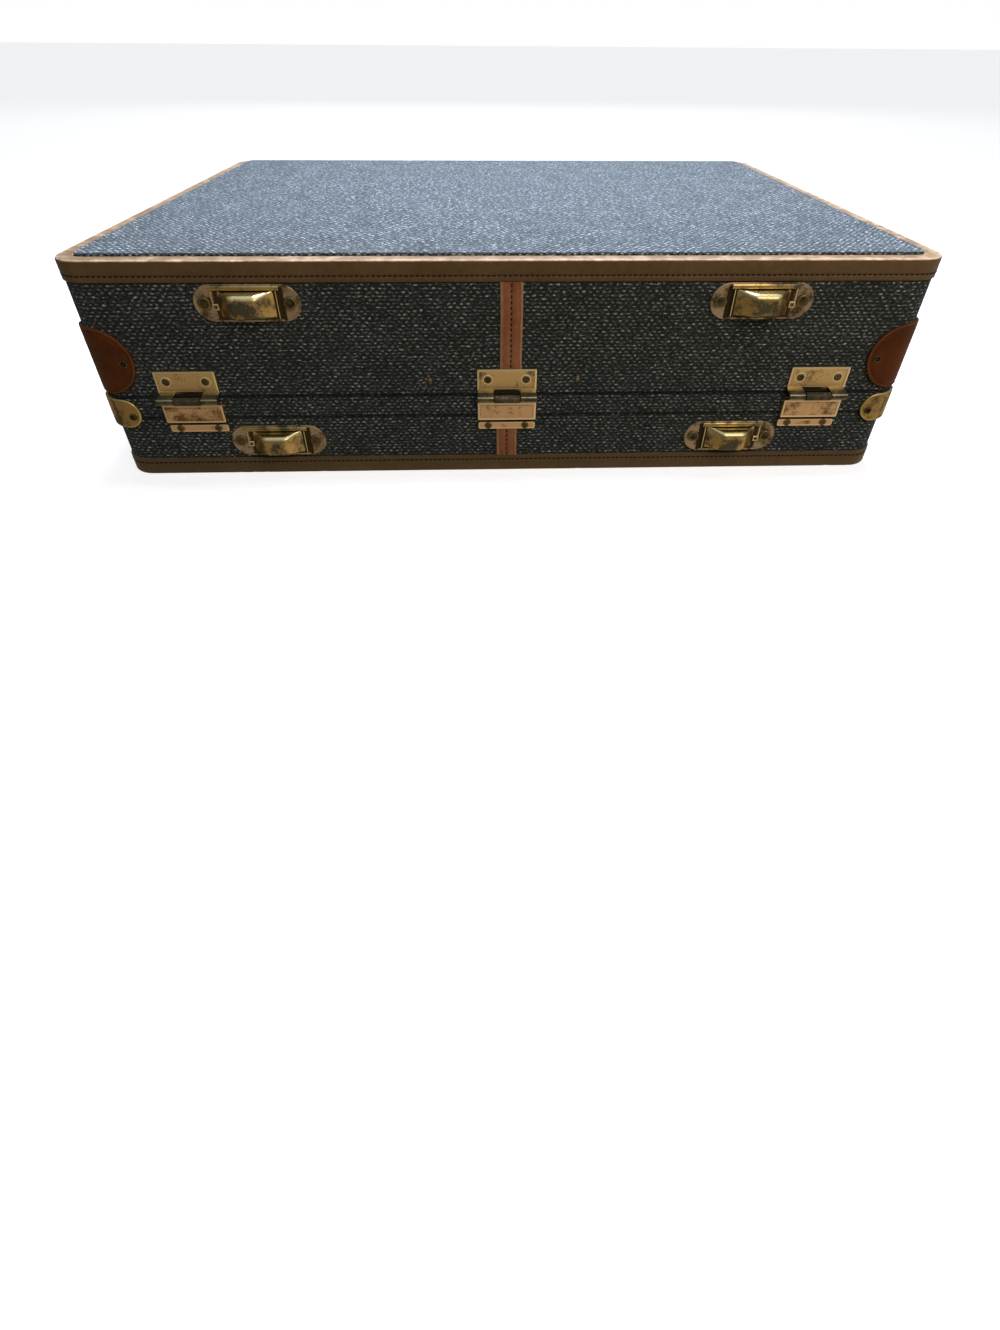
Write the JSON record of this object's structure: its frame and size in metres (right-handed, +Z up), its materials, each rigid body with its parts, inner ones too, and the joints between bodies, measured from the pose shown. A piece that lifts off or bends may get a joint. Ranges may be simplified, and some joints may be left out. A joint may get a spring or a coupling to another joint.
{
  "type": "travelling case",
  "caption": "Hard-sided travelling case with hinged shallow and deep halves, tweed sides, leather binding, standing feet, a handle and latches.",
  "frame": {"origin": "on the floor under the middle of the case's bounding box, feet and handle included", "axes": "+X along the length of the hinge side, +Y from the hinges towards the handle, +Z up from the shallow half to the deep half"},
  "size_m": [0.6136, 0.4668, 0.1678],
  "materials": {
    "board": "plain plywood, unseen between cloth and lining",
    "rim": "the case's tweed glued over the wooden frame of the mouth",
    "tweed": "coarse two-colour tweed, worn",
    "binding_leather": "tan leather, stitched near its inner edge, rubbed on the corners",
    "strip_leather": "red-brown leather with a line of stitches down the middle",
    "guard_leather": "dark red-brown leather, creased and rubbed",
    "handle_leather": "brown leather, polished by hands",
    "lining": "plain tan cotton",
    "brass": "dull and tarnished",
    "foot_brass": "rubbed bright on the crests, dark in the hollows"
  },
  "bodies": {
    "lid": {"lid_panel_board": "board", "lid_side_board": "board", "lid_rim": "rim", "lid_panel_cloth": "tweed", "lid_side_cloth": "tweed", "lid_binding": "binding_leather", "lid_lining": "lining", "lid_strip": "strip_leather", "lid_corner_left_hinge_side": "brass", "lid_corner_left_handle_side": "brass", "lid_corner_right_hinge_side": "brass", "lid_corner_right_handle_side": "brass", "lid_foot_left_plate": "foot_brass", "lid_foot_left_bumper": "foot_brass", "lid_foot_right_plate": "foot_brass", "lid_foot_right_bumper": "foot_brass", "hinge_lid_leaf_left": "brass", "hinge_pin_left": "brass", "hinge_lid_leaf_middle": "brass", "hinge_pin_middle": "brass", "hinge_lid_leaf_right": "brass", "hinge_pin_right": "brass", "hasp_plate_left": "brass", "hasp_pin_left": "brass", "hasp_plate_right": "brass", "hasp_pin_right": "brass"},
    "deep_half": {"deep_panel_board": "board", "deep_side_board": "board", "deep_rim": "rim", "deep_panel_cloth": "tweed", "deep_side_cloth": "tweed", "deep_binding": "binding_leather", "deep_lining": "lining", "deep_strip": "strip_leather", "deep_corner_left_hinge_side": "guard_leather", "deep_corner_left_handle_side": "guard_leather", "deep_corner_right_hinge_side": "guard_leather", "deep_corner_right_handle_side": "guard_leather", "deep_foot_left_plate": "foot_brass", "deep_foot_left_bumper": "foot_brass", "deep_foot_right_plate": "foot_brass", "deep_foot_right_bumper": "foot_brass", "hinge_deep_leaf_left": "brass", "hinge_deep_leaf_middle": "brass", "hinge_deep_leaf_right": "brass", "latch_plate_left": "brass", "handle_mount_left": "brass", "latch_plate_right": "brass", "handle_mount_right": "brass"},
    "handle": {"handle_ring_left": "brass", "handle_ring_right": "brass", "handle_grip": "handle_leather"},
    "hasp_left": {"hasp_left": "brass"},
    "hasp_right": {"hasp_right": "brass"},
    "latch_button_left": {"latch_slide_left": "brass"},
    "latch_button_right": {"latch_slide_right": "brass"}
  },
  "joints": [
    {"name": "case_opening", "type": "hinge", "parent": "lid", "child": "deep_half", "pos_m": [0, -0.22915, 0.06725], "axis": [1, 0, 0], "range_deg": [0, 136]},
    {"name": "handle_swing", "type": "hinge", "parent": "deep_half", "child": "handle", "pos_m": [0, 0.22595, 0.08425], "axis": [1, 0, 0], "range_deg": [0, 176]},
    {"name": "hasp_swing_left", "type": "hinge", "parent": "lid", "child": "hasp_left", "pos_m": [-0.177, 0.22185, 0.05675], "axis": [-1, 0, 0], "range_deg": [0, 170]},
    {"name": "hasp_swing_right", "type": "hinge", "parent": "lid", "child": "hasp_right", "pos_m": [0.177, 0.22185, 0.05675], "axis": [-1, 0, 0], "range_deg": [0, 170]},
    {"name": "latch_button_slide_left", "type": "slide", "parent": "deep_half", "child": "latch_button_left", "axis": [-1, 0, 0], "range_m": [0, 0.006], "stiffness_N_per_m": 200},
    {"name": "latch_button_slide_right", "type": "slide", "parent": "deep_half", "child": "latch_button_right", "axis": [1, 0, 0], "range_m": [0, 0.006], "stiffness_N_per_m": 200}
  ]
}
